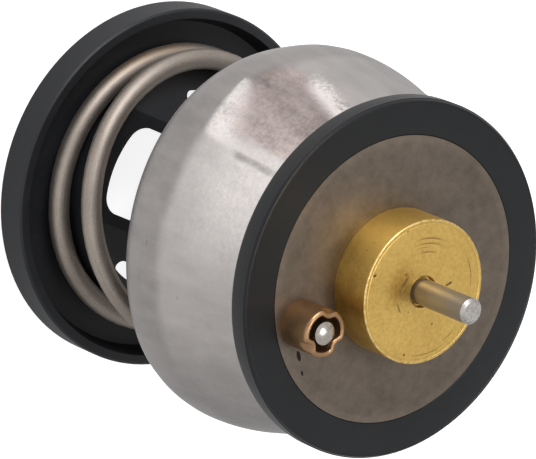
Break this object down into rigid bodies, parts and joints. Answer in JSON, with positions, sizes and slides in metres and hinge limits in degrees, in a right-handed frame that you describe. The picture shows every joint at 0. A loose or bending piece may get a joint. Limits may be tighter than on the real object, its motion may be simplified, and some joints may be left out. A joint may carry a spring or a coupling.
{
  "type": "engine thermostat",
  "caption": "Sleeve-type engine thermostat insert: rubber-rimmed valve plate on a bulged steel sleeve, brass wax element with pin, return spring and black base ring with bridge.",
  "frame": {"origin": "centre of the base ring's underside", "axes": "+Z along the axis towards the piston pin; -Y is the side that the picture looks at"},
  "size_m": [0.054, 0.054, 0.0727],
  "materials": {
    "black_plastic": "satin moulded",
    "spring_steel": "drawn wire, smooth",
    "plate_steel": "satin",
    "seal_rubber": "satin",
    "sleeve_steel": "satin, deep drawn",
    "turned_brass": "turned",
    "wax": "waxy",
    "element_rubber": "matt",
    "gel": "soft",
    "white_disc": "smooth",
    "pin_steel": "ground",
    "copper_tube": "drawn, slightly tarnished",
    "zinc_steel": "plain"
  },
  "bodies": {
    "seat": {"base_ring": "black_plastic", "return_spring": "spring_steel"},
    "valve": {"valve_plate": "plate_steel", "rim_seal": "seal_rubber", "valve_sleeve": "sleeve_steel", "guide_head": "turned_brass", "wax_cup": "turned_brass", "wax_charge": "wax", "diaphragm": "element_rubber", "gel_plug": "gel", "tail_stem": "pin_steel", "stem_washer": "zinc_steel", "retaining_clip": "zinc_steel", "jiggle_tube": "copper_tube"},
    "piston": {"piston_pin": "pin_steel", "rubber_plug": "element_rubber", "backup_disc": "white_disc"},
    "jiggle": {"jiggle_pin": "pin_steel", "jiggle_weight": "turned_brass"}
  },
  "joints": [
    {"name": "valve_lift", "type": "slide", "parent": "seat", "child": "valve", "axis": [0, 0, -1], "range_m": [0, 0.0075], "stiffness_N_per_m": 6000, "springref_m": -0.004, "deforming": ["return_spring"]},
    {"name": "piston_stroke", "type": "slide", "parent": "valve", "child": "piston", "axis": [0, 0, 1], "range_m": [0, 0.0075]},
    {"name": "jiggle_play", "type": "slide", "parent": "valve", "child": "jiggle", "axis": [0, 0, 1], "range_m": [0, 0.001]}
  ],
  "couplings": [
    {"joint": "piston_stroke", "follows": "valve_lift", "ratio": 1}
  ]
}
